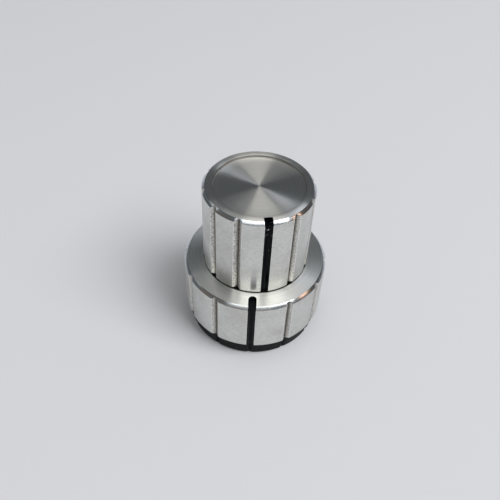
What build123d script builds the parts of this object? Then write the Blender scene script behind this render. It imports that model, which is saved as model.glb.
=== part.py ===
from build123d import *
import os

# Stacked control knob: a small fluted knob turns above a larger fluted ring on one vertical axis.
# Millimetres, +Z up. The origin is on the bench under the common axis.
# The lower pointer faces -Y and the upper pointer is turned a little from it.

# Shafts that the knob is made for
inner_shaft_radius = 2.0
outer_shaft_radius = 3.0
shaft_clearance = 0.02

# Lower shell
lower_radius = 10.0
lower_height = 8.15
lower_chamfer = 0.42
lower_wall = 1.2
lower_plate = 1.0

# Upper shell
upper_radius = 7.3
upper_height = 12.4
upper_chamfer = 0.46
upper_wall = 1.2
upper_plate = 1.0
land_width = 0.84
recess_depth = 0.35
recess_root_radius = 0.3

# Flutes and pointers, the same cutter all round both shells
flute_count = 12
flute_width = 1.06
flute_depth = 0.4
pocket_width = 1.1
pocket_depth = 0.55
lower_pocket_reach = 2.15
upper_pocket_reach = 1.06
enamel_thickness = 0.06
enamel_root_radius = 0.2
upper_turn_angle = 11.75

# How the two knobs stack
stack_gap = 0.3
spigot_radius = 3.6
spigot_running_clearance = 0.08
spigot_end_clearance = 0.1
socket_depth = 2.9
socket_wall = 0.8
socket_floor = 1.2
collar_setback = 0.2

# Moulded bushes
foot_height = 2.85
foot_inset = 0.6
foot_edge_chamfer = 0.35
foot_wall = 1.8
notch_depth = 0.3
bush_fit_gap = 0.02
web = 1.2
lower_hub_wall = 1.4
lower_hub_setback = 1.6
upper_sleeve_wall = 0.9
upper_sleeve_setback = 0.2
upper_bore_depth = 10.4
inner_shaft_pass_clearance = 0.3
rib_count = 6
rib_thickness = 0.8
lower_rib_height = 2.2
upper_rib_height = 4.0
slit_width = 0.5
lower_slit_depth = 3.6
upper_slit_depth = 8.2

# Split spring rings
spring_thickness = 0.5
spring_height = 1.8
spring_groove_depth = 0.4
spring_opening_angle = 24
spring_slack = 0.02
lower_spring_rise = 1.2
upper_spring_rise = 4.6

# Cutters run past the faces that they cut through by this much
overrun = 1.0

# Heights that follow, from the bench up
lower_base = foot_height
lower_top = lower_base + lower_height
lower_plate_base = lower_top - lower_plate
upper_base = lower_top + stack_gap
upper_top = upper_base + upper_height
recess_floor = upper_top - recess_depth
upper_plate_base = recess_floor - upper_plate
collar_top = lower_top - collar_setback
socket_base = collar_top - socket_depth
outer_bore_top = socket_base - socket_floor
lower_web_base = lower_plate_base - web
spigot_end = socket_base + spigot_end_clearance
upper_web_base = upper_plate_base - web
inner_bore_top = spigot_end + upper_bore_depth

# Radii that follow, from the axis out
inner_bore_radius = inner_shaft_radius + shaft_clearance
outer_bore_radius = outer_shaft_radius + shaft_clearance
pass_radius = inner_shaft_radius + inner_shaft_pass_clearance
socket_radius = spigot_radius + spigot_running_clearance
collar_radius = socket_radius + socket_wall
lower_hub_radius = outer_bore_radius + lower_hub_wall
lower_bore_radius = lower_radius - lower_wall
lower_bush_radius = lower_bore_radius - bush_fit_gap
foot_radius = lower_radius - foot_inset
foot_pocket_radius = foot_radius - foot_wall
upper_bore_radius = upper_radius - upper_wall
upper_bush_radius = upper_bore_radius - bush_fit_gap
upper_pocket_radius = upper_bush_radius - upper_sleeve_wall
recess_radius = upper_radius - upper_chamfer - land_width

# Pointer directions about the axis
lower_pointer_angle = -90
upper_pointer_angle = lower_pointer_angle + upper_turn_angle


def section(points):
    """Closed flat section in the XZ plane through (radius, height) points."""
    return make_face(Polyline(*[(radius, 0, height) for radius, height in points], close=True))


def turned(points):
    """Solid of revolution about the common axis."""
    return revolve(section(points), Axis.Z)


def nearest(corners, radius, height):
    """The corner of a section that lies at a radius and height."""
    return corners.sort_by_distance((radius, 0, height))[0]


def flute(rim_radius, depth, low, high, root_radius=0):
    """V-shaped cutter for a flute or notch, pointing at the axis from +X, its tip rounded if asked."""
    slope = flute_width / 2 / flute_depth
    tip = rim_radius - depth
    mouth = rim_radius + overrun
    half_mouth = (mouth - tip) * slope
    outline = make_face(Polyline((tip, 0), (mouth, half_mouth), (mouth, -half_mouth), close=True))
    if root_radius:
        outline = fillet(outline.vertices().sort_by(Axis.X)[0], root_radius)
    return Pos(0, 0, low) * extrude(outline, high - low)


def pocket(tip_radius, rim_radius, width, floor, top, round_tip):
    """End-milled pocket in the top face, from its tip outwards past the rim along +X."""
    start = tip_radius + width / 2 if round_tip else tip_radius
    run = rim_radius + overrun - start
    outline = Pos(start + run / 2, 0) * Rectangle(run, width)
    if round_tip:
        outline += Pos(start, 0) * Circle(width / 2)
    return Pos(0, 0, floor) * extrude(outline, top + overrun - floor)


def pointer_cut(rim_radius, reach, low, top, round_tip, lining):
    """Groove and pocket of one pointer along +X, smaller all round by the lining left in them."""
    slope = flute_width / 2 / flute_depth
    apex_shift = lining * (1 + slope**2) ** 0.5 / slope
    root_radius = enamel_root_radius if lining else 0
    groove = flute(rim_radius, flute_depth - apex_shift, low - overrun, top + overrun, root_radius)
    tip_radius = rim_radius - reach + lining
    floor = top - pocket_depth + lining
    return groove + pocket(tip_radius, rim_radius, pocket_width - 2 * lining, floor, top, round_tip)


def fluted_shell(blank, rim_radius, low, top, pointer_angle, pointer):
    """Blank with flutes at an even pitch, one of them opened into the pointer's pocket."""
    cutter = flute(rim_radius, flute_depth, low - overrun, top + overrun)
    shell = blank
    for place in PolarLocations(0, flute_count, start_angle=pointer_angle):
        shell -= place * cutter
    return shell - Rot(0, 0, pointer_angle) * pointer


def enamel_lining(blank, pointer_angle, cut, core):
    """Thin coat of enamel on the walls and floor of a pointer's groove and pocket."""
    return Rot(0, 0, pointer_angle) * (((Rot(0, 0, -pointer_angle) * blank) & cut) - core)


def spring_ring(groove_radius, low):
    """Split steel ring that squeezes the fingers of a hub."""
    inner = groove_radius + spring_slack
    outer = inner + spring_thickness
    high = low + spring_height
    profile = section([(inner, low), (outer, low), (outer, high), (inner, high)])
    ring = revolve(profile, Axis.Z, revolution_arc=360 - spring_opening_angle)
    return Rot(0, 0, spring_opening_angle / 2) * ring


def split_hub(bush, hub_radius, low, slit_depth, groove_low):
    """Cut the cross slits and the spring ring's groove into a bush's hub."""
    groove_radius = hub_radius - spring_groove_depth
    groove_high = groove_low + spring_height + 2 * spring_slack
    groove = turned(
        [
            (groove_radius, groove_low),
            (hub_radius + spring_thickness, groove_low),
            (hub_radius + spring_thickness, groove_high),
            (groove_radius, groove_high),
        ]
    )
    bush -= groove
    slit_length = 2 * (hub_radius + overrun / 4)
    slit = Pos(0, 0, low - overrun) * extrude(Rectangle(slit_length, slit_width), slit_depth + overrun)
    for angle in (45, 135):
        bush -= Rot(0, 0, angle) * slit
    return bush


def ribs(inner, outer, low, high):
    """Stiffening ribs that hang under a bush's web, from its hub to its sleeve."""
    length = outer - inner
    rib = Pos((inner + outer) / 2, 0, low) * extrude(Rectangle(length, rib_thickness), high - low)
    return [place * rib for place in PolarLocations(0, rib_count)]


# Lower shell: a ring with a top plate, bored for the collar of its bush
lower_blank = turned(
    [
        (lower_bore_radius, lower_base),
        (lower_radius, lower_base),
        (lower_radius, lower_top - lower_chamfer),
        (lower_radius - lower_chamfer, lower_top),
        (collar_radius + bush_fit_gap, lower_top),
        (collar_radius + bush_fit_gap, lower_plate_base),
        (lower_bore_radius, lower_plate_base),
    ]
)
lower_cut = pointer_cut(lower_radius, lower_pocket_reach, lower_base, lower_top, True, 0)
lower_core = pointer_cut(lower_radius, lower_pocket_reach, lower_base, lower_top, True, enamel_thickness)
lower_shell = fluted_shell(lower_blank, lower_radius, lower_base, lower_top, lower_pointer_angle, lower_cut)
lower_pointer_enamel = enamel_lining(lower_blank, lower_pointer_angle, lower_cut, lower_core)

# Upper shell: a cap whose top is recessed inside a flat land
upper_section = section(
    [
        (0, upper_plate_base),
        (upper_bore_radius, upper_plate_base),
        (upper_bore_radius, upper_base),
        (upper_radius, upper_base),
        (upper_radius, upper_top - upper_chamfer),
        (upper_radius - upper_chamfer, upper_top),
        (recess_radius, upper_top),
        (recess_radius, recess_floor),
        (0, recess_floor),
    ]
)
recess_root = nearest(upper_section.vertices(), recess_radius, recess_floor)
upper_section = fillet(recess_root, recess_root_radius)
upper_blank = revolve(upper_section, Axis.Z)
upper_cut = pointer_cut(upper_radius, upper_pocket_reach, upper_base, upper_top, False, 0)
upper_core = pointer_cut(upper_radius, upper_pocket_reach, upper_base, upper_top, False, enamel_thickness)
upper_shell = fluted_shell(upper_blank, upper_radius, upper_base, upper_top, upper_pointer_angle, upper_cut)
upper_pointer_enamel = enamel_lining(upper_blank, upper_pointer_angle, upper_cut, upper_core)

# Lower bush: foot, sleeve, web, socket for the upper spigot and split hub for the outer shaft
lower_hub_base = lower_hub_setback
hub_shoulder = outer_bore_top - socket_floor / 2
lower_section = section(
    [
        (socket_radius, collar_top),
        (collar_radius, collar_top),
        (collar_radius, lower_plate_base),
        (lower_bush_radius, lower_plate_base),
        (lower_bush_radius, lower_base),
        (foot_radius, lower_base),
        (foot_radius, 0),
        (foot_pocket_radius, 0),
        (foot_pocket_radius, lower_web_base),
        (collar_radius, lower_web_base),
        (collar_radius, hub_shoulder),
        (lower_hub_radius, hub_shoulder),
        (lower_hub_radius, lower_hub_base),
        (outer_bore_radius, lower_hub_base),
        (outer_bore_radius, outer_bore_top),
        (pass_radius, outer_bore_top),
        (pass_radius, socket_base),
        (socket_radius, socket_base),
    ]
)
foot_edge = nearest(lower_section.vertices(), foot_radius, 0)
lower_section = chamfer(foot_edge, foot_edge_chamfer)
lower_insert = revolve(lower_section, Axis.Z)
lower_rib_inner = (collar_radius + socket_radius) / 2
lower_rib_outer = foot_pocket_radius + foot_wall / 4
lower_rib_base = lower_web_base - lower_rib_height
for rib in ribs(lower_rib_inner, lower_rib_outer, lower_rib_base, lower_web_base + web / 2):
    lower_insert += rib
lower_spring_base = lower_hub_base + lower_spring_rise
lower_insert = split_hub(lower_insert, lower_hub_radius, lower_hub_base, lower_slit_depth, lower_spring_base)
notch = flute(foot_radius, notch_depth, -overrun, lower_base)
for place in PolarLocations(0, flute_count, start_angle=lower_pointer_angle):
    lower_insert -= place * notch
lower_spring_ring = spring_ring(lower_hub_radius - spring_groove_depth, lower_spring_base + spring_slack)

# Upper bush: sleeve, web and a long split hub whose end is the spigot
upper_sleeve_base = upper_base + upper_sleeve_setback
upper_insert = turned(
    [
        (0, upper_plate_base),
        (upper_bush_radius, upper_plate_base),
        (upper_bush_radius, upper_sleeve_base),
        (upper_pocket_radius, upper_sleeve_base),
        (upper_pocket_radius, upper_web_base),
        (spigot_radius, upper_web_base),
        (spigot_radius, spigot_end),
        (inner_bore_radius, spigot_end),
        (inner_bore_radius, inner_bore_top),
        (0, inner_bore_top),
    ]
)
upper_rib_inner = (inner_bore_radius + spigot_radius) / 2
upper_rib_outer = upper_pocket_radius + upper_sleeve_wall / 2
upper_rib_base = upper_web_base - upper_rib_height
for rib in ribs(upper_rib_inner, upper_rib_outer, upper_rib_base, upper_web_base + web / 2):
    upper_insert += rib
upper_spring_base = spigot_end + upper_spring_rise
upper_insert = split_hub(upper_insert, spigot_radius, spigot_end, upper_slit_depth, upper_spring_base)
upper_spring_ring = spring_ring(spigot_radius - spring_groove_depth, upper_spring_base + spring_slack)

os.makedirs("parts", exist_ok=True)
export_step(lower_shell, "parts/lower_shell.step")
export_step(lower_pointer_enamel, "parts/lower_pointer_enamel.step")
export_step(lower_insert, "parts/lower_insert.step")
export_step(lower_spring_ring, "parts/lower_spring_ring.step")
export_step(upper_shell, "parts/upper_shell.step")
export_step(upper_pointer_enamel, "parts/upper_pointer_enamel.step")
export_step(upper_insert, "parts/upper_insert.step")
export_step(upper_spring_ring, "parts/upper_spring_ring.step")
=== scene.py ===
import logging
import math
from dataclasses import dataclass, field
from enum import Enum, IntEnum
from typing import Callable, Optional

import bmesh
import bpy
from mathutils import Matrix, Vector, noise


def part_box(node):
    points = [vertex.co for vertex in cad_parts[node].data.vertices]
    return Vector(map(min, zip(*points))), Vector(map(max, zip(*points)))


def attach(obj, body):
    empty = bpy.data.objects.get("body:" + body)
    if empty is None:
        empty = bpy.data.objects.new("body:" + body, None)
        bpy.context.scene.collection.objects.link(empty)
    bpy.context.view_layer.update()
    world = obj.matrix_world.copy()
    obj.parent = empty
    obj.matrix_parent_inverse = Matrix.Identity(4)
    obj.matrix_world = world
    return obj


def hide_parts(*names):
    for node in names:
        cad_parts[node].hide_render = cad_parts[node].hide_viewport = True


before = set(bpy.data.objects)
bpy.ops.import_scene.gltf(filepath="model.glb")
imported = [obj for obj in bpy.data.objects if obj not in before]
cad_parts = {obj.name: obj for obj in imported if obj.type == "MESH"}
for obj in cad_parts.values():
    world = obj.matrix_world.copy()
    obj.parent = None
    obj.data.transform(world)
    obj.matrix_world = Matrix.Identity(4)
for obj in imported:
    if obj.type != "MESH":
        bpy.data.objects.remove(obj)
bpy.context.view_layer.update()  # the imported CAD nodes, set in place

MM = 0.001
TURN = 2 * math.pi
TINY = 0.001 * MM  # points nearer than this are one
DEPTH = "groove_depth"  # mesh attribute: 0 at a flute's lip, 1 at its root
WHITE = "#FFFFFF"
LOG = logging.getLogger("stacked_knob")

MULTIPLY_COLOURS = {"data_type": "RGBA", "blend_type": "MULTIPLY"}
SHARE, FIRST, SECOND, MIXED = 0, 6, 7, 2  # a Mix node's sockets when it mixes colours
TO_WORLD = {"vector_type": "VECTOR", "convert_from": "OBJECT", "convert_to": "WORLD"}

Place = Callable[[Vector], Vector]
Ring = list[bmesh.types.BMEdge]
Outline = tuple[tuple[float, float], ...]
Spread = tuple[float, float]


def linear(hex_colour: str) -> tuple[float, float, float, float]:
    """Turn an sRGB hex colour into linear RGBA.

    Args:
        hex_colour: Six hex digits after a hash sign.

    Returns:
        Linear red, green and blue with an alpha of 1.
    """
    parts = [int(hex_colour[i : i + 2], 16) / 255 for i in (1, 3, 5)]
    curve = [c / 12.92 if c <= 0.04045 else ((c + 0.055) / 1.055) ** 2.4 for c in parts]
    return (curve[0], curve[1], curve[2], 1.0)


def add_node(
    tree: bpy.types.NodeTree,
    kind: str,
    settings: Optional[dict[str, object]] = None,
    inputs: Optional[dict[object, object]] = None,
) -> bpy.types.Node:
    """Add one node with its settings, constants and links.

    Args:
        tree: Node tree that gets the node.
        kind: Blender's name for the node's type.
        settings: Properties of the node itself. Under "stops" stand a colour ramp's stops,
            each a hex colour and its place on the ramp.
        inputs: Input name or index, to a constant or to the socket that feeds it.

    Returns:
        The new node.
    """
    node = tree.nodes.new(kind)
    for name, value in (settings or {}).items():
        if name == "stops":
            for stop, (hex_colour, at) in zip(node.color_ramp.elements, value):
                stop.position = at
                stop.color = linear(hex_colour)
        else:
            setattr(node, name, value)
    for key, value in (inputs or {}).items():
        if isinstance(value, bpy.types.NodeSocket):
            tree.links.new(value, node.inputs[key])
        else:
            node.inputs[key].default_value = value
    return node


def new_material(name: str) -> tuple[bpy.types.Material, bpy.types.NodeTree]:
    """Make an empty node material.

    Args:
        name: The material's name.

    Returns:
        The material and its emptied node tree.
    """
    material = bpy.data.materials.new(name)
    material.use_nodes = True
    material.node_tree.nodes.clear()
    return material, material.node_tree


def blots(
    tree: bpy.types.NodeTree,
    place: bpy.types.NodeSocket,
    size_mm: float,
    shades: tuple[str, str],
    spread: Spread,
) -> bpy.types.NodeSocket:
    """Colour that wanders between two shades in blots of a real size.

    Args:
        tree: Node tree that gets the nodes.
        place: Socket with the place in metres.
        size_mm: Size of the largest blots.
        shades: Hex colours where the noise is low and where it is high.
        spread: Noise value up to which the first shade is plain, and from which the second is.

    Returns:
        The socket with the colour.
    """
    wander = add_node(
        tree,
        "ShaderNodeTexNoise",
        inputs={"Vector": place, "Scale": 1 / (size_mm * MM), "Detail": 3.0, "Roughness": 0.6},
    )
    stops = {"stops": tuple(zip(shades, spread))}
    return add_node(tree, "ShaderNodeValToRGB", stops, {"Fac": wander.outputs["Fac"]}).outputs["Color"]


def bumps(
    tree: bpy.types.NodeTree,
    place: bpy.types.NodeSocket,
    size_mm: float,
    depth_mm: float,
    strength: float,
    roughness: float = 0.6,
) -> bpy.types.NodeSocket:
    """Bumps of a real size and depth.

    Args:
        tree: Node tree that gets the nodes.
        place: Socket with the place in metres.
        size_mm: Size of the largest bumps.
        depth_mm: How deep they go.
        strength: How much of them shows.
        roughness: How strong the finer bumps on them are.

    Returns:
        The socket with the bent normal.
    """
    wander = add_node(
        tree,
        "ShaderNodeTexNoise",
        inputs={"Vector": place, "Scale": 1 / (size_mm * MM), "Detail": 3.0, "Roughness": roughness},
    )
    bump = add_node(
        tree,
        "ShaderNodeBump",
        inputs={"Height": wander.outputs["Fac"], "Strength": strength, "Distance": depth_mm * MM},
    )
    return bump.outputs["Normal"]


def finish_surface(tree: bpy.types.NodeTree, look: dict[str, object]) -> None:
    """Give the surface this look and send it to the material's output."""
    shader = add_node(tree, "ShaderNodeBsdfPrincipled", inputs=look)
    add_node(tree, "ShaderNodeOutputMaterial", inputs={"Surface": shader.outputs["BSDF"]})


@dataclass(frozen=True)
class SatinTurnedAluminium:
    """Aluminium turned on its side, then etched satin: fine grain, and reflections smeared up and down."""

    name: str = "aluminium_turned_etched"
    pale: str = "#E0E1DE"
    dull: str = "#D1D2CF"
    pit: str = "#9C9A95"
    handled: str = "#F0EFED"
    roughness: float = 0.28
    anisotropic: float = 0.8
    grain_mm: float = 0.18
    grain_spread: Spread = (0.36, 0.64)
    grain_squeeze: float = 0.45  # of the place across the axis, which draws the grain out round it
    pit_mm: float = 0.3
    pit_spread: Spread = (0.68, 0.76)
    cloud_mm: float = 4.0
    cloud_spread: Spread = (0.38, 0.6)
    grit_mm: float = 0.16
    grit_depth_mm: float = 0.003
    grit_strength: float = 0.35

    def material(self) -> bpy.types.Material:
        """Make the material.

        Returns:
            A satin metal whose grain runs round the axis with the turning marks under the
            etch, with a few dark pits where the etch bit deeper and faint clouds from
            handling. Grain and grit are drawn about twice as coarse as the real 0.08 mm
            so that they show.
        """
        material, tree = new_material(self.name)
        place = add_node(tree, "ShaderNodeTexCoord").outputs["Object"]
        squeeze = {0: place, 1: (self.grain_squeeze, self.grain_squeeze, 1.0)}
        drawn_out = add_node(tree, "ShaderNodeVectorMath", {"operation": "MULTIPLY"}, squeeze)
        round_axis = drawn_out.outputs["Vector"]
        colour = blots(tree, round_axis, self.grain_mm, (self.dull, self.pale), self.grain_spread)
        pits = blots(tree, place, self.pit_mm, (WHITE, self.pit), self.pit_spread)
        clouds = blots(tree, place, self.cloud_mm, (self.handled, WHITE), self.cloud_spread)
        for marks in (pits, clouds):
            layers = {SHARE: 1.0, FIRST: colour, SECOND: marks}
            colour = add_node(tree, "ShaderNodeMix", MULTIPLY_COLOURS, layers).outputs[MIXED]
        upward = add_node(tree, "ShaderNodeVectorTransform", TO_WORLD, {"Vector": (0.0, 0.0, 1.0)})
        look = {
            "Base Color": colour,
            "Metallic": 1.0,
            "Roughness": self.roughness,
            "Anisotropic": self.anisotropic,
            "Tangent": upward.outputs["Vector"],
            "Normal": bumps(tree, place, self.grit_mm, self.grit_depth_mm, self.grit_strength),
        }
        finish_surface(tree, look)
        return material


@dataclass(frozen=True)
class FluteCutAluminium:
    """Groove walls as the flute cutter tore them, with painted shade that darkens them towards the root."""

    name: str = "aluminium_flute_cut"
    pale: str = "#DDDCD8"
    torn: str = "#7C7971"
    # Painted shade: the walls darken to this colour towards the root.
    root_shade: str = "#6E6A61"
    root_shade_spread: Spread = (0.45, 1.0)  # in shares of the groove's depth
    roughness: float = 0.38
    speckle_mm: float = 0.17
    speckle_spread: Spread = (0.36, 0.56)
    tear_depth_mm: float = 0.02
    tear_strength: float = 0.6

    def material(self) -> bpy.types.Material:
        """Make the material.

        Returns:
            A speckled metal with painted shade that darkens it with the mesh's own depth attribute, towards
            the groove's root.
        """
        material, tree = new_material(self.name)
        place = add_node(tree, "ShaderNodeTexCoord").outputs["Object"]
        specks = blots(tree, place, self.speckle_mm, (self.torn, self.pale), self.speckle_spread)
        depth = add_node(tree, "ShaderNodeAttribute", {"attribute_name": DEPTH})
        # Painted shade: darker towards the groove's root.
        stops = {"stops": tuple(zip((WHITE, self.root_shade), self.root_shade_spread))}
        root_shading = add_node(tree, "ShaderNodeValToRGB", stops, {"Fac": depth.outputs["Fac"]})
        layers = {SHARE: 1.0, FIRST: specks, SECOND: root_shading.outputs["Color"]}
        look = {
            "Base Color": add_node(tree, "ShaderNodeMix", MULTIPLY_COLOURS, layers).outputs[MIXED],
            "Metallic": 1.0,
            "Roughness": self.roughness,
            "Normal": bumps(tree, place, self.speckle_mm, self.tear_depth_mm, self.tear_strength),
        }
        finish_surface(tree, look)
        return material


@dataclass(frozen=True)
class BurredAluminium:
    """The torn lip of a flute: so rough that it scatters light and shows as a pale line."""

    name: str = "aluminium_burr"
    pale: str = "#EEEEEC"
    dull: str = "#B5B4B0"
    roughness: float = 0.55
    metallic: float = 0.6
    grit_mm: float = 0.12
    grit_spread: Spread = (0.35, 0.5)
    grit_depth_mm: float = 0.02
    grit_strength: float = 0.6

    def material(self) -> bpy.types.Material:
        """Make the material.

        Returns:
            A pale, scattering metal.
        """
        material, tree = new_material(self.name)
        place = add_node(tree, "ShaderNodeTexCoord").outputs["Object"]
        look = {
            "Base Color": blots(tree, place, self.grit_mm, (self.dull, self.pale), self.grit_spread),
            "Metallic": self.metallic,
            "Roughness": self.roughness,
            "Normal": bumps(tree, place, self.grit_mm, self.grit_depth_mm, self.grit_strength),
        }
        finish_surface(tree, look)
        return material


@dataclass(frozen=True)
class TurnedAluminium:
    """Aluminium faced on a lathe: fine rings round the axis smear every reflection across them."""

    name: str
    pale: str = "#EBEBE9"
    dull: str = "#D8D8D6"
    roughness: float = 0.4
    anisotropic: float = 1.0
    ring_mm: float = 0.14
    ring_spread: Spread = (0.35, 0.65)
    ring_depth_mm: float = 0.004
    ring_strength: float = 0.3
    slope: float = 0.0  # share of the height added to the radius, so that rings climb a cone or a wall

    def material(self) -> bpy.types.Material:
        """Make the material.

        Returns:
            A metal whose highlights stretch across its turning rings, which are drawn
            about three times as coarse as a real 0.05 mm feed, and four times on the
            chamfer, so that they show.
        """
        material, tree = new_material(self.name)
        place = add_node(tree, "ShaderNodeTexCoord").outputs["Object"]
        level = {0: place, 1: (1.0, 1.0, 0.0)}
        flat = add_node(tree, "ShaderNodeVectorMath", {"operation": "MULTIPLY"}, level).outputs["Vector"]
        outward = add_node(tree, "ShaderNodeVectorMath", {"operation": "NORMALIZE"}, {0: flat})
        tangent = add_node(tree, "ShaderNodeVectorTransform", TO_WORLD, {"Vector": outward.outputs["Vector"]})
        radius = add_node(tree, "ShaderNodeVectorMath", {"operation": "LENGTH"}, {0: flat})
        height = add_node(tree, "ShaderNodeSeparateXYZ", inputs={"Vector": place})
        climb = {0: height.outputs["Z"], 1: self.slope, 2: radius.outputs["Value"]}
        across = add_node(tree, "ShaderNodeMath", {"operation": "MULTIPLY_ADD"}, climb)
        feed = {0: across.outputs["Value"], 1: 1 / (self.ring_mm * MM)}
        count = add_node(tree, "ShaderNodeMath", {"operation": "MULTIPLY"}, feed)
        rings = add_node(
            tree,
            "ShaderNodeTexNoise",
            {"noise_dimensions": "1D"},
            {"W": count.outputs["Value"], "Scale": 1.0, "Detail": 3.0, "Roughness": 0.7},
        ).outputs["Fac"]
        stops = {"stops": tuple(zip((self.dull, self.pale), self.ring_spread))}
        groove = {"Height": rings, "Strength": self.ring_strength, "Distance": self.ring_depth_mm * MM}
        look = {
            "Base Color": add_node(tree, "ShaderNodeValToRGB", stops, {"Fac": rings}).outputs["Color"],
            "Metallic": 1.0,
            "Roughness": self.roughness,
            "Anisotropic": self.anisotropic,
            "Tangent": tangent.outputs["Vector"],
            "Normal": add_node(tree, "ShaderNodeBump", inputs=groove).outputs["Normal"],
        }
        finish_surface(tree, look)
        return material


@dataclass(frozen=True)
class PointerEnamel:
    """Black enamel wiped into the pointer grooves: glossy, with the ripples of a hand-filled coat."""

    name: str = "enamel_black_filled"
    colour: str = "#06080C"
    # Pale flecks: partly dust and scratches, partly painted glints.
    dust_and_glint: str = "#C9CED6"
    dust_and_glint_mm: float = 0.42
    dust_and_glint_spread: Spread = (0.69, 0.72)
    roughness: float = 0.18
    ripple_mm: float = 0.45
    ripple_depth_mm: float = 0.05
    ripple_strength: float = 0.5
    specular: float = 0.06

    def material(self) -> bpy.types.Material:
        """Make the material.

        Returns:
            A glossy black paint with slow ripples in its skin and a few pale flecks, partly dust and
            scratches and partly painted glints.
        """
        material, tree = new_material(self.name)
        place = add_node(tree, "ShaderNodeTexCoord").outputs["Object"]
        skin = bumps(tree, place, self.ripple_mm, self.ripple_depth_mm, self.ripple_strength, roughness=0.5)
        look = {
            # Pale flecks: partly dust and scratches, partly painted glints.
            "Base Color": blots(tree, place, self.dust_and_glint_mm, (self.colour, self.dust_and_glint), self.dust_and_glint_spread),
            "Roughness": self.roughness,
            "IOR": 1.5,
            "Specular IOR Level": self.specular,
            "Normal": skin,
        }
        finish_surface(tree, look)
        return material


@dataclass(frozen=True)
class MouldedABS:
    """Black ABS from a spark-eroded mould: matt, with a fine even grain."""

    name: str = "abs_black_moulded"
    colour: str = "#08090D"
    worn: str = "#121318"
    roughness: float = 0.42
    specular: float = 0.12
    grain_mm: float = 0.14
    grain_spread: Spread = (0.4, 0.75)
    grain_depth_mm: float = 0.01
    grain_strength: float = 0.4

    def material(self) -> bpy.types.Material:
        """Make the material.

        Returns:
            A matt black plastic with the mould's grain.
        """
        material, tree = new_material(self.name)
        place = add_node(tree, "ShaderNodeTexCoord").outputs["Object"]
        look = {
            "Base Color": blots(tree, place, self.grain_mm, (self.colour, self.worn), self.grain_spread),
            "Roughness": self.roughness,
            "IOR": 1.53,
            "Specular IOR Level": self.specular,
            "Normal": bumps(tree, place, self.grain_mm, self.grain_depth_mm, self.grain_strength),
        }
        finish_surface(tree, look)
        return material


@dataclass(frozen=True)
class SpringSteel:
    """Drawn spring steel strip: grey and bright, with draw lines along the strip."""

    name: str = "spring_steel_drawn"
    pale: str = "#B9B7B2"
    dark: str = "#8E8B86"
    roughness: float = 0.28
    line_mm: float = 0.1
    line_spread: Spread = (0.35, 0.65)

    def material(self) -> bpy.types.Material:
        """Make the material.

        Returns:
            A bright steel with lines that follow the strip round the axis.
        """
        material, tree = new_material(self.name)
        place = add_node(tree, "ShaderNodeTexCoord").outputs["Object"]
        height = add_node(tree, "ShaderNodeSeparateXYZ", inputs={"Vector": place})
        lines = add_node(
            tree,
            "ShaderNodeTexNoise",
            {"noise_dimensions": "1D"},
            {"W": height.outputs["Z"], "Scale": 1 / (self.line_mm * MM), "Detail": 2.0},
        )
        stops = {"stops": tuple(zip((self.dark, self.pale), self.line_spread))}
        strip = add_node(tree, "ShaderNodeValToRGB", stops, {"Fac": lines.outputs["Fac"]})
        look = {"Base Color": strip.outputs["Color"], "Metallic": 1.0, "Roughness": self.roughness}
        finish_surface(tree, look)
        return material


class Finishes:
    """Every material of the knob, made once."""

    def __init__(self) -> None:
        """Make the materials."""
        self.side = SatinTurnedAluminium().material()
        self.flute = FluteCutAluminium().material()
        # The chamfer's rings are turning marks; the blue-grey of its dull rings is painted reflection.
        self.chamfer = TurnedAluminium(
            name="aluminium_diamond_turned_painted_blue_reflection",
            pale="#F2F4F2",
            dull="#B4BECB",
            roughness=0.2,
            anisotropic=0.6,
            ring_mm=0.2,
            ring_depth_mm=0.01,
            slope=-1.0,
        ).material()
        self.face = TurnedAluminium(
            name="aluminium_faced_coarse", pale="#F7F9F8", dull="#E3E5E4", roughness=0.45, anisotropic=0.9
        ).material()
        self.disc = TurnedAluminium(name="aluminium_faced_fine", roughness=0.3).material()
        self.lip = BurredAluminium().material()
        # Painted shade: the recess wall and its root are painted darker than the other aluminium.
        self.wall = TurnedAluminium(
            name="aluminium_bored_painted_shade",
            pale="#A9A8A5",
            dull="#939290",
            roughness=0.42,
            anisotropic=0.0,
            slope=-1.0,
        ).material()
        # Painted shade: a dark ring on the lower face, for the shade in the gap under the upper knob.
        self.gap_shade = TurnedAluminium(
            name="aluminium_painted_gap_shade", pale="#3A3936", dull="#262523", roughness=0.5, anisotropic=0.0
        ).material()
        self.enamel = PointerEnamel().material()
        self.moulding = MouldedABS().material()
        self.steel = SpringSteel().material()

    def shell_skins(self) -> tuple[bpy.types.Material, ...]:
        """The shells' materials in the order of their slots."""
        return (self.side, self.flute, self.chamfer, self.face, self.disc, self.lip, self.wall, self.gap_shade)


class Skin(IntEnum):
    """Material slots of a fluted shell."""

    SIDE = 0
    FLUTE = 1
    CHAMFER = 2
    FACE = 3
    DISC = 4
    LIP = 5
    # Painted shade: this slot is painted darker, for the recess wall in shade.
    WALL = 6
    # Painted shade: the dark ring under the upper knob's rim.
    GAP_SHADE = 7


class PocketEnd(Enum):
    """How a pointer's pocket ends towards the axis."""

    ROUND = "left by the end mill"
    SQUARE = "cut square"


def on_ring(radius: float, height: float) -> Place:
    """Keep each corner's direction from the axis.

    Args:
        radius: The corners' new distance from the axis, in millimetres.
        height: Their new height, in millimetres.

    Returns:
        The place for each corner.
    """

    def place(corner: Vector) -> Vector:
        """Move one corner along its own direction."""
        scale = radius * MM / corner.xy.length
        return Vector((corner.x * scale, corner.y * scale, height * MM))

    return place


def at_height(height: float) -> Place:
    """A place for each corner: straight above or below it, at this height in millimetres."""
    return lambda corner: Vector((corner.x, corner.y, height * MM))


def turned_by(degrees: float) -> Matrix:
    """A turn about the knob's axis."""
    return Matrix.Rotation(math.radians(degrees), 3, "Z")


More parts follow.
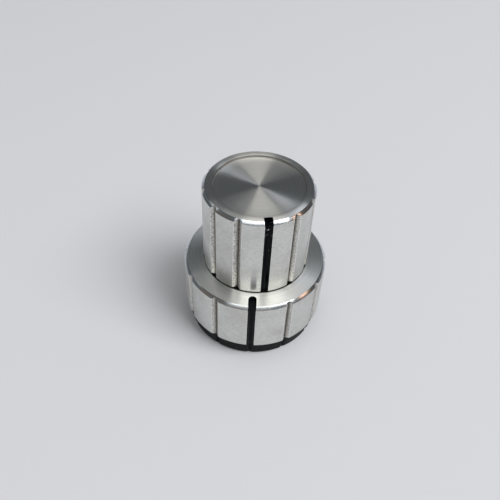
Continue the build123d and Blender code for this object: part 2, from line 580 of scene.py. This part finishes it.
def pull(mesh: bmesh.types.BMesh, ring: Ring, place: Place, skin: Skin) -> Ring:
    """Extrude a ring of edges and put its new corners in their places.

    Args:
        mesh: Mesh that holds the ring.
        ring: Edges to extrude.
        place: Where each new corner goes.
        skin: Material slot of the new faces.

    Returns:
        The new ring of edges.
    """
    made = bmesh.ops.extrude_edge_only(mesh, edges=ring)["geom"]
    corners = {part for part in made if isinstance(part, bmesh.types.BMVert)}
    for corner in corners:
        corner.co = place(corner.co)
    for part in made:
        if isinstance(part, bmesh.types.BMFace):
            part.material_index = skin
            part.smooth = True
    return [e for e in made if isinstance(e, bmesh.types.BMEdge) and all(v in corners for v in e.verts)]


def soften(mesh: bmesh.types.BMesh, edges: Ring, width: float, skin: int = -1) -> None:
    """Round some edges over.

    Args:
        mesh: Mesh that holds the edges.
        edges: Edges to round.
        width: How far the rounding reaches from each edge, in millimetres.
        skin: Material slot of the new faces, or -1 for their neighbours' slot.
    """
    bmesh.ops.bevel(
        mesh,
        geom=edges,
        offset=width * MM,
        affect="EDGES",
        segments=2,
        profile=0.5,
        material=skin,
        clamp_overlap=True,
    )


def put_mesh(
    name: str, mesh: bmesh.types.BMesh, materials: tuple[bpy.types.Material, ...] = ()
) -> bpy.types.Object:
    """Put a mesh into the scene.

    Args:
        name: Name of the object and of its mesh.
        mesh: The mesh, which is freed.
        materials: Its materials in the order of their slots.

    Returns:
        The object.
    """
    data = bpy.data.meshes.new(name)
    mesh.to_mesh(data)
    mesh.free()
    for material in materials:
        data.materials.append(material)
    piece = bpy.data.objects.new(name, data)
    bpy.context.scene.collection.objects.link(piece)
    return piece


@dataclass(frozen=True)
class FluteCutter:
    """The V cutter that runs down both shells, in millimetres."""

    count: int = 12
    width: float = 1.06
    depth: float = 0.4
    wall_cuts: int = 3  # edges that divide each wall of a flute
    burr: float = 0.012
    burr_size: float = 0.35
    lift_offset: tuple[float, float, float] = (7.3, 1.9, 4.1)  # so that lift and sway differ

    def half_angle(self, rim_radius: float) -> float:
        """Half the angle that a flute takes of the rim."""
        return math.asin(self.width / 2 / rim_radius)

    def burr_at(self, corner: Vector) -> Vector:
        """Raggedness of a flute's lip.

        Args:
            corner: Place on the lip, in metres.

        Returns:
            Sway along the rim and lift off it, in metres.
        """
        at = corner / (self.burr_size * MM)
        sway = noise.noise(at)
        lift = max(0.0, noise.noise(at + Vector(self.lift_offset)))
        outward = Vector((corner.x, corner.y, 0)).normalized()
        along = Vector((-outward.y, outward.x, 0))
        return (along * sway + outward * lift) * self.burr * MM


@dataclass
class FlutedShell:
    """Turned aluminium shell with flutes round its side, in millimetres and degrees.

    Heights come from the frame, so the shell stands where its solid stands. With a recess
    its top is closed by a disc inside a raised land, and without one it is a flat face with
    a hole.
    """

    node: str
    body: str
    pointer_angle: float
    rim_radius: float
    bore_radius: float
    chamfer: float
    plate: float
    pocket_reach: float
    pocket_end: PocketEnd
    rows: int  # of faces up the side
    pocket_width: float = 1.1
    pocket_depth: float = 0.55
    mill_overrun: float = 1.0
    mill_steps: int = 16
    recess: float = 0.0
    land_inner: float = 0.0
    dub_width: float = 0.0  # how far in from the chamfer the land is rubbed down
    dub_drop: float = 0.0
    root_radius: float = 0.12
    root_steps: int = 4
    disc_rings: tuple[float, ...] = (0.75, 0.5, 0.25, 0.08)  # in shares of the disc's radius
    hole_radius: float = 0.0
    gap_shade_radius: float = 0.0  # the upper knob hides the face inside it; painted shade: from here in to the hole the face is painted dark, for the shaded gap under the upper knob
    edge_softness: float = 0.025
    lip_width: float = 0.05
    soften_above: float = 24.0
    sharp_above: float = 35.0
    flat_weight: int = 90
    arc_steps: int = 16
    cutter: FluteCutter = field(default_factory=FluteCutter)
    base: float = field(init=False)
    top: float = field(init=False)
    shoulder: float = field(init=False)

    def __post_init__(self) -> None:
        """Read the shell's heights from the frame."""
        low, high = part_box(self.node)
        self.base = low[2] / MM
        self.top = high[2] / MM
        self.shoulder = self.top - self.chamfer

    def outline(self, mesh: bmesh.types.BMesh) -> Ring:
        """Draw the fluted outline at the shell's lower edge.

        Args:
            mesh: Empty mesh that gets the outline.

        Returns:
            The outline's edges, a closed ring.
        """
        half = self.cutter.half_angle(self.rim_radius)
        pitch = TURN / self.cutter.count
        rim = self.rim_radius * MM
        root = mesh.verts.new(((self.rim_radius - self.cutter.depth) * MM, 0, self.base * MM))
        lip = mesh.verts.new((rim * math.cos(half), rim * math.sin(half), self.base * MM))
        far_lip = mesh.verts.new((lip.co.x, -lip.co.y, lip.co.z))
        walls = [mesh.edges.new((root, lip)), mesh.edges.new((far_lip, root))]
        bmesh.ops.spin(
            mesh,
            geom=[lip],
            cent=(0, 0, 0),
            axis=(0, 0, 1),
            angle=pitch - 2 * half,
            steps=self.arc_steps,
            use_merge=False,
            use_duplicate=False,
        )
        bmesh.ops.subdivide_edges(mesh, edges=walls, cuts=self.cutter.wall_cuts)
        bmesh.ops.rotate(mesh, cent=(0, 0, 0), matrix=turned_by(self.pointer_angle), verts=mesh.verts)
        bmesh.ops.spin(
            mesh,
            geom=mesh.verts[:] + mesh.edges[:],
            cent=(0, 0, 0),
            axis=(0, 0, 1),
            angle=TURN - pitch,
            steps=self.cutter.count - 1,
            use_merge=False,
            use_duplicate=True,
        )
        bmesh.ops.remove_doubles(mesh, verts=mesh.verts, dist=TINY)
        return mesh.edges[:]

    def raise_side(self, mesh: bmesh.types.BMesh, foot: Ring) -> Ring:
        """Pull the side up from its outline and tear the flutes' lips.

        Args:
            mesh: Mesh that holds the outline.
            foot: The outline's edges.

        Returns:
            The side's upper ring, which lies on the chamfer's cone and so climbs in each flute.
        """
        ring = foot
        for row in range(1, self.rows):
            height = self.base + (self.shoulder - self.base) * row / self.rows
            ring = pull(mesh, ring, at_height(height), Skin.SIDE)

        def on_cone(corner: Vector) -> Vector:
            """Straight above or below a corner, on the chamfer's cone."""
            return Vector((corner.x, corner.y, self.shoulder * MM + self.rim_radius * MM - corner.xy.length))

        ring = pull(mesh, ring, on_cone, Skin.SIDE)
        first_step = self.cutter.depth / (self.cutter.wall_cuts + 1)
        for face in mesh.faces:
            if min(corner.co.xy.length for corner in face.verts) < (self.rim_radius - first_step / 2) * MM:
                face.material_index = Skin.FLUTE
        for corner in mesh.verts:
            skins = {face.material_index for face in corner.link_faces}
            if len(skins) == 2 and corner.co.z < self.shoulder * MM - TINY:
                corner.co += self.cutter.burr_at(corner.co)
        return ring

    def turn_recess(self, mesh: bmesh.types.BMesh, ring: Ring) -> tuple[float, Ring]:
        """Close the top with its land, the recess's wall and rounded root, and its disc.

        Args:
            mesh: Mesh that holds the side and the chamfer.
            ring: The chamfer's upper ring.

        Returns:
            Height of the plate's underside, and no hole.
        """
        floor = self.top - self.recess
        inner = self.land_inner - self.root_radius
        dub_inner = self.rim_radius - self.chamfer - self.dub_width
        ring = pull(mesh, ring, on_ring(dub_inner, self.top), Skin.DISC)
        ring = pull(mesh, ring, on_ring(self.land_inner, self.top), Skin.DISC)
        ring = pull(mesh, ring, on_ring(self.land_inner, floor + self.root_radius), Skin.WALL)
        for step in range(1, self.root_steps + 1):
            angle = math.pi / 2 * step / self.root_steps
            inward = self.root_radius * (1 - math.cos(angle))
            height = floor + self.root_radius * (1 - math.sin(angle))
            ring = pull(mesh, ring, on_ring(self.land_inner - inward, height), Skin.WALL)
        for share in self.disc_rings:
            ring = pull(mesh, ring, on_ring(inner * share, floor), Skin.DISC)
        bmesh.ops.contextual_create(mesh, geom=ring, mat_nr=Skin.DISC, use_smooth=True)
        return floor - self.plate, []

    def face_top(self, mesh: bmesh.types.BMesh, ring: Ring) -> tuple[float, Ring]:
        """Close the top with its flat face, and go down the hole in its plate.

        Args:
            mesh: Mesh that holds the side and the chamfer.
            ring: The chamfer's upper ring.

        Returns:
            Height of the plate's underside, and the hole's edges there.
        """
        under = self.top - self.plate
        ring = pull(mesh, ring, on_ring(self.gap_shade_radius, self.top), Skin.FACE)
        # Painted shade: the ring under the upper knob is painted dark.
        ring = pull(mesh, ring, on_ring(self.hole_radius, self.top), Skin.GAP_SHADE)
        return under, pull(mesh, ring, on_ring(self.hole_radius, under), Skin.FACE)

    def finish_edges(self, mesh: bmesh.types.BMesh) -> None:
        """Soften the lips and the crisp edges, note how deep each corner lies and mark sharp edges.

        Args:
            mesh: The closed shell.
        """
        torn = {Skin.SIDE, Skin.FLUTE}
        lips = [e for e in mesh.edges if {face.material_index for face in e.link_faces} == torn]
        soften(mesh, lips, self.lip_width, Skin.LIP)
        limit = math.radians(self.soften_above)
        crisp = [e for e in mesh.edges if e.is_manifold and e.calc_face_angle() > limit]
        soften(mesh, crisp, self.edge_softness)
        depth = mesh.verts.layers.float.new(DEPTH)
        for corner in mesh.verts:
            corner[depth] = (self.rim_radius - corner.co.xy.length / MM) / self.cutter.depth
        limit = math.radians(self.sharp_above)
        for edge in mesh.edges:
            edge.smooth = not (edge.is_manifold and edge.calc_face_angle() > limit)

    def turn(self) -> bmesh.types.BMesh:
        """Turn and flute the shell.

        Returns:
            One closed mesh, without the pointer's pocket.
        """
        mesh = bmesh.new()
        foot = self.outline(mesh)
        ring = self.raise_side(mesh, foot)
        crest = on_ring(self.rim_radius - self.chamfer + self.dub_drop, self.top - self.dub_drop)
        ring = pull(mesh, ring, crest, Skin.CHAMFER)
        close_top = self.turn_recess if self.recess else self.face_top
        under, hole = close_top(mesh, ring)
        ring = pull(mesh, foot, on_ring(self.bore_radius, self.base), Skin.FACE)
        ring = pull(mesh, ring, on_ring(self.bore_radius, under), Skin.FACE)
        if hole:
            bmesh.ops.bridge_loops(mesh, edges=ring + hole)
        else:
            bmesh.ops.contextual_create(mesh, geom=ring, mat_nr=Skin.FACE, use_smooth=True)
        bmesh.ops.recalc_face_normals(mesh, faces=mesh.faces)
        self.finish_edges(mesh)
        return mesh

    def mill_path(self) -> bmesh.types.BMesh:
        """Shape what the end mill clears for the pointer's pocket.

        Returns:
            The cleared space, one closed mesh.
        """
        side = self.pocket_width * MM / 2
        tip = (self.rim_radius - self.pocket_reach) * MM
        out = (self.rim_radius + self.mill_overrun) * MM
        floor = (self.top - self.pocket_depth) * MM
        rounded = self.pocket_end is PocketEnd.ROUND
        start = tip + side if rounded else tip
        cut = bmesh.new()
        ends = [cut.verts.new((out, -side, floor)), cut.verts.new((start, -side, floor))]
        cut.edges.new(ends)
        if rounded:
            bmesh.ops.spin(
                cut,
                geom=[ends[1]],
                cent=(start, 0, 0),
                axis=(0, 0, -1),
                angle=math.pi,
                steps=self.mill_steps,
                use_merge=False,
                use_duplicate=False,
            )
        else:
            cut.edges.new((ends[1], cut.verts.new((start, side, floor))))
        cut.verts.ensure_lookup_table()
        cut.edges.new((cut.verts[-1], cut.verts.new((out, side, floor))))
        cut.verts.ensure_lookup_table()
        cut.edges.new((cut.verts[-1], ends[0]))
        sole = bmesh.ops.contextual_create(cut, geom=cut.edges[:])["faces"]
        raised = bmesh.ops.extrude_face_region(cut, geom=sole)["geom"]
        lid = [part for part in raised if isinstance(part, bmesh.types.BMVert)]
        bmesh.ops.translate(cut, verts=lid, vec=(0, 0, (self.pocket_depth + self.mill_overrun) * MM))
        bmesh.ops.rotate(cut, cent=(0, 0, 0), matrix=turned_by(self.pointer_angle), verts=cut.verts)
        bmesh.ops.recalc_face_normals(cut, faces=cut.faces)
        for face in cut.faces:
            face.material_index = Skin.FLUTE
        return cut

    def mill_pocket(self, shell: bpy.types.Object) -> None:
        """Cut the pointer's pocket into the shell's top edge.

        Args:
            shell: The turned shell's object, whose mesh is replaced.
        """
        mill = put_mesh("end_mill", self.mill_path())
        boolean = shell.modifiers.new("pocket", "BOOLEAN")
        boolean.operation = "DIFFERENCE"
        boolean.solver = "EXACT"
        boolean.object = mill
        bpy.context.view_layer.update()
        shown = bpy.context.evaluated_depsgraph_get()
        milled = bpy.data.meshes.new_from_object(shell.evaluated_get(shown))
        shell.modifiers.clear()
        turned = shell.data
        shell.data = milled
        milled.name = turned.name + "_milled"
        bpy.data.meshes.remove(turned)
        bpy.data.objects.remove(mill)

    def build(self, finishes: Finishes) -> bpy.types.Object:
        """Build the shell with its finishes and its pointer's pocket.

        Args:
            finishes: The knob's materials.

        Returns:
            The shell's object, riding on its body in place of its CAD node.
        """
        shell = put_mesh(self.node + "_turned", self.turn(), finishes.shell_skins())
        self.mill_pocket(shell)
        flats = shell.modifiers.new("flat_faces_stay_flat", "WEIGHTED_NORMAL")
        flats.mode = "FACE_AREA"
        flats.weight = self.flat_weight
        flats.keep_sharp = True
        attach(shell, self.body)
        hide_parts(self.node)
        return shell


def dress_node(node: str, material: bpy.types.Material) -> bpy.types.Object:
    """Give a kept CAD node its material.

    Args:
        node: The node's name.
        material: Material for all of its slots.

    Returns:
        The node's object.
    """
    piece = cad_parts[node]
    if not piece.material_slots:
        piece.data.materials.append(material)
    for slot in piece.material_slots:
        slot.material = material
    LOG.info("%s dressed in %s", node, material.name)
    return piece


@dataclass
class KnobStage:
    """One knob of the stack: its shell and the pieces inside it."""

    prefix: str
    shell: FlutedShell

    def build(self, finishes: Finishes) -> None:
        """Build the shell and dress the pieces that keep their solids.

        Args:
            finishes: The knob's materials.
        """
        shell = self.shell.build(finishes)
        LOG.info("%s built with %d faces", shell.name, len(shell.data.polygons))
        dress_node(self.prefix + "_pointer_enamel", finishes.enamel)
        dress_node(self.prefix + "_insert", finishes.moulding)
        dress_node(self.prefix + "_spring_ring", finishes.steel)


@dataclass(frozen=True)
class PhotoCamera:
    """The photograph's viewpoint, in millimetres and degrees from the knob's axis on the bench."""

    distance: float = 55.54
    height: float = 69.19
    yaw: float = -0.796
    pitch: float = 46.02
    roll: float = 2.81
    focal_px: float = 566.5
    frame_px: float = 500.0
    sensor_mm: float = 36.0
    nearest: float = 1.0
    farthest: float = 10000.0

    def place(self) -> bpy.types.Object:
        """Place the camera.

        Returns:
            The camera's object, set as the scene's camera.
        """
        data = bpy.data.cameras.new("photo_camera")
        data.sensor_width = self.sensor_mm
        data.lens = self.focal_px / self.frame_px * self.sensor_mm
        data.clip_start = self.nearest * MM
        data.clip_end = self.farthest * MM
        camera = bpy.data.objects.new("photo_camera", data)
        upright = Matrix.Rotation(math.radians(90), 4, "X")
        yaw = Matrix.Rotation(math.radians(-self.yaw), 4, "Y")
        pitch = Matrix.Rotation(math.radians(-self.pitch), 4, "X")
        roll = Matrix.Rotation(math.radians(self.roll), 4, "Z")
        where = Matrix.Translation((0, -self.distance * MM, self.height * MM))
        camera.matrix_world = where @ upright @ yaw @ pitch @ roll
        bpy.context.scene.collection.objects.link(camera)
        bpy.context.scene.camera = camera
        return camera


def facing_knob(where: Vector) -> Matrix:
    """Place at this point in metres, turned so that a card or a lamp there faces the knob."""
    return Matrix.Translation(where) @ where.to_track_quat("Z", "Y").to_matrix().to_4x4()


@dataclass(frozen=True)
class Sheet:
    """Bright sheet overhead: its corners in plan, in shares of its height above the bench."""

    name: str
    corners: Outline
    hex_colour: str
    strength: float


@dataclass(frozen=True)
class Card:
    """Glowing card round the knob: degrees from +X towards +Y, degrees above the bench, and its size."""

    name: str
    azimuth: float
    elevation: float
    size_mm: tuple[float, float]
    hex_colour: str
    strength: float = 1.0

    def place(self, reach_mm: float) -> Matrix:
        """Place the card.

        Args:
            reach_mm: Its distance from the knob.

        Returns:
            The place's matrix.
        """
        low = math.radians(self.elevation)
        turn = math.radians(self.azimuth)
        towards = Vector((math.cos(low) * math.cos(turn), math.cos(low) * math.sin(turn), math.sin(low)))
        return facing_knob(towards * reach_mm * MM)


COOL = "#EEF3FB"
COOL_BACK = "#F0F4FA"
PLAIN = "#F4F4F2"
WARM = "#F8F6F0"

# The turned faces catch the sheets as wedges of light. The right sheet's back edge lies where
# the faces mirror it at one angle round the axis, so that its wedge ends there in a crisp line.
SHEETS = (
    Sheet(
        "right_sheet",
        ((0.3, 0.34), (0.28, 0.78), (0.65, 0.72), (1.1, 0.66), (1.35, 0.65), (1.35, 0.25), (1.2, 0.25)),
        COOL,
        1.8,
    ),
    Sheet("back_right_sheet", ((1.1, 0.62), (2.0, 0.62), (2.0, 1.2), (1.2, 1.2)), COOL_BACK, 0.9),
    Sheet(
        "between_sheet",
        ((0.5, 0.2), (0.3, 0.34), (1.2, 0.25), (1.35, 0.25), (1.35, -0.7), (0.55, 0.0)),
        PLAIN,
        0.6,
    ),
    Sheet("right_front_sheet", ((0.3, -0.3), (0.3, 0.2), (0.5, 0.2), (0.55, 0.0), (0.85, -0.3)), PLAIN, 0.95),
    Sheet("top_sheet", ((-0.28, -0.3), (0.3, -0.3), (0.3, 0.2), (-0.28, 0.2)), WARM, 0.7),
    Sheet("back_sheet", ((-0.12, 0.2), (0.3, 0.2), (0.3, 0.5), (-0.12, 0.5)), WARM, 1.6),
    Sheet("front_sheet", ((-0.28, -0.3), (0.85, -0.3), (1.35, -0.75), (-0.28, -0.75)), WARM, 5.0),
    Sheet("front_left_sheet", ((-0.28, -0.3), (-0.5, -0.75), (-0.28, -0.75)), WARM, 4.2),
    Sheet("back_left_sheet", ((-0.4, 0.2), (-0.4, 0.55), (-0.15, 0.55), (-0.15, 0.2)), PLAIN, 1.1),
    Sheet("left_sheet", ((-1.8, -0.2), (-1.8, 0.55), (-0.7, 0.5), (-0.7, 0.1)), PLAIN, 0.9),
)

# The cards hang round the knob and face it.
CARDS = (
    Card("front_card", -90, 54, (620, 230), "#EAEFF2", 0.92),
    Card("low_front_card", -95, 34, (620, 180), "#8C8680"),
    Card("peach_card", -11, 29, (130, 130), "#F6C6A6", 2.3),
    Card("brown_card", 12, 26, (360, 300), "#4A423B"),
    Card("left_card", -150, 25, (420, 260), "#6E665E"),
)


@dataclass(frozen=True)
class Studio:
    """Pale bench, soft lamp on the right, and the sheets, cards and dark dome that the metal reflects."""

    bench_hex: str = "#CFD0D4"
    bench_roughness: float = 0.6
    bench_specular: float = 0.2
    bench_size_mm: float = 3000.0
    dome_hex: str = "#575A5D"
    dome_radius_mm: float = 1100.0
    dome_low_mm: float = 20.0
    dome_segments: int = 48
    card_reach_mm: float = 595.0
    sheet_height_mm: float = 450.0
    lamp_at_mm: tuple[float, float, float] = (700.0, -350.0, 1100.0)
    lamp_side_mm: float = 800.0
    lamp_watts: float = 15.0
    fill_strength: float = 0.45
    backdrop_hex: str = "#DADADB"

    def put(self, name: str, mesh: bmesh.types.BMesh, material: bpy.types.Material) -> bpy.types.Object:
        """Put a stage piece into the scene.

        Args:
            name: The piece's name.
            mesh: Its mesh, which is freed.
            material: Its material.

        Returns:
            The piece's object.
        """
        piece = put_mesh(name, mesh, (material,))
        return piece

    def bench(self) -> None:
        """Lay the pale bench top that the knob stands on."""
        mesh = bmesh.new()
        bmesh.ops.create_grid(mesh, x_segments=1, y_segments=1, size=self.bench_size_mm / 2 * MM)
        material, tree = new_material("bench_painted_board")
        look = {
            "Base Color": linear(self.bench_hex),
            "Roughness": self.bench_roughness,
            "Specular IOR Level": self.bench_specular,
        }
        finish_surface(tree, look)
        self.put("bench", mesh, material)

    def seen_in_metal(self, piece: bpy.types.Object) -> None:
        """Hide a stage piece from everything but reflections.

        Args:
            piece: The piece's object.
        """
        piece.visible_camera = False
        piece.visible_diffuse = False
        piece.visible_shadow = False
        piece.visible_transmission = False

    def glow(self, name: str, hex_colour: str, strength: float = 1.0) -> bpy.types.Material:
        """Make a plain glowing colour.

        Args:
            name: The material's name.
            hex_colour: Its colour.
            strength: Its brightness.

        Returns:
            The material.
        """
        material, tree = new_material(name)
        light = {"Color": linear(hex_colour), "Strength": strength}
        emission = add_node(tree, "ShaderNodeEmission", inputs=light).outputs["Emission"]
        add_node(tree, "ShaderNodeOutputMaterial", inputs={"Surface": emission})
        return material

    def hang_dome(self) -> None:
        """Hang a dark dome of cloth over the bench that only reflections see."""
        mesh = bmesh.new()
        rings = self.dome_segments // 2
        radius = self.dome_radius_mm * MM
        bmesh.ops.create_uvsphere(mesh, u_segments=self.dome_segments, v_segments=rings, radius=radius)
        bmesh.ops.bisect_plane(
            mesh,
            geom=mesh.verts[:] + mesh.edges[:] + mesh.faces[:],
            plane_co=(0, 0, self.dome_low_mm * MM),
            plane_no=(0, 0, 1),
            clear_inner=True,
        )
        self.seen_in_metal(self.put("flag_dome", mesh, self.glow("flag_cloth", self.dome_hex)))

    def hang_sheet(self, sheet: Sheet) -> None:
        """Hang a bright sheet overhead that only reflections see.

        Args:
            sheet: The sheet.
        """
        high = self.sheet_height_mm * MM
        mesh = bmesh.new()
        edge = [mesh.verts.new((x * high, y * high, high)) for x, y in sheet.corners]
        bmesh.ops.contextual_create(mesh, geom=edge)
        cloth = self.glow(sheet.name + "_cloth", sheet.hex_colour, sheet.strength)
        self.seen_in_metal(self.put(sheet.name, mesh, cloth))

    def hang_card(self, card: Card) -> None:
        """Hang a glowing card that only reflections see.

        Args:
            card: The card.
        """
        mesh = bmesh.new()
        bmesh.ops.create_grid(mesh, x_segments=1, y_segments=1, size=0.5 * MM)
        bmesh.ops.scale(mesh, vec=(*card.size_mm, 1), verts=mesh.verts)
        bmesh.ops.transform(mesh, matrix=card.place(self.card_reach_mm), verts=mesh.verts)
        board = self.glow(card.name + "_board", card.hex_colour, card.strength)
        self.seen_in_metal(self.put(card.name, mesh, board))

    def lamp(self) -> None:
        """Hang the square soft lamp on the right, facing the knob."""
        data = bpy.data.lights.new("softbox", "AREA")
        data.shape = "SQUARE"
        data.size = self.lamp_side_mm * MM
        data.energy = self.lamp_watts
        lamp = bpy.data.objects.new("softbox", data)
        lamp.matrix_world = facing_knob(Vector(self.lamp_at_mm) * MM)
        lamp.visible_glossy = False
        bpy.context.scene.collection.objects.link(lamp)

    def surroundings(self) -> None:
        """Fill light for diffuse rays, and a pale backdrop for camera, glossy and transmission rays."""
        world = bpy.data.worlds.new("studio")
        bpy.context.scene.world = world
        world.use_nodes = True
        tree = world.node_tree
        tree.nodes.clear()
        path = add_node(tree, "ShaderNodeLightPath")
        seen = path.outputs["Is Camera Ray"]
        for ray in ("Is Glossy Ray", "Is Transmission Ray"):
            either = {0: seen, 1: path.outputs[ray]}
            seen = add_node(tree, "ShaderNodeMath", {"operation": "MAXIMUM"}, either).outputs["Value"]
        fill = add_node(
            tree, "ShaderNodeBackground", inputs={"Color": linear(WHITE), "Strength": self.fill_strength}
        )
        pale = add_node(
            tree, "ShaderNodeBackground", inputs={"Color": linear(self.backdrop_hex), "Strength": 1.0}
        )
        mix = add_node(
            tree,
            "ShaderNodeMixShader",
            inputs={0: seen, 1: fill.outputs["Background"], 2: pale.outputs["Background"]},
        )
        add_node(tree, "ShaderNodeOutputWorld", inputs={"Surface": mix.outputs["Shader"]})

    def set_up(self) -> None:
        """Set up the whole studio."""
        self.bench()
        self.hang_dome()
        for sheet in SHEETS:
            self.hang_sheet(sheet)
        for card in CARDS:
            self.hang_card(card)
        self.lamp()
        self.surroundings()
        bpy.context.scene.view_settings.view_transform = "Standard"


def main() -> None:
    """Build, dress and light the stacked knob."""
    logging.basicConfig(level=logging.INFO, format="%(name)s: %(message)s")
    finishes = Finishes()
    lower = KnobStage(
        "lower",
        FlutedShell(
            node="lower_shell",
            body="lower_knob",
            pointer_angle=-90.0,
            rim_radius=10.0,
            bore_radius=8.8,
            chamfer=0.42,
            plate=1.0,
            pocket_reach=2.15,
            pocket_end=PocketEnd.ROUND,
            rows=28,
            hole_radius=4.5,
            # painted shade under the upper knob's rim reaches out to here
            gap_shade_radius=7.28,
        ),
    )
    upper = KnobStage(
        "upper",
        FlutedShell(
            node="upper_shell",
            body="upper_knob",
            pointer_angle=-78.25,
            rim_radius=7.3,
            bore_radius=6.1,
            chamfer=0.46,
            plate=1.0,
            pocket_reach=1.06,
            pocket_end=PocketEnd.SQUARE,
            rows=42,
            recess=0.35,
            land_inner=6.0,
            dub_width=0.45,
            dub_drop=0.055,
        ),
    )
    for stage in (lower, upper):
        stage.build(finishes)
    PhotoCamera().place()
    Studio().set_up()


if __name__ == "__main__":
    main()
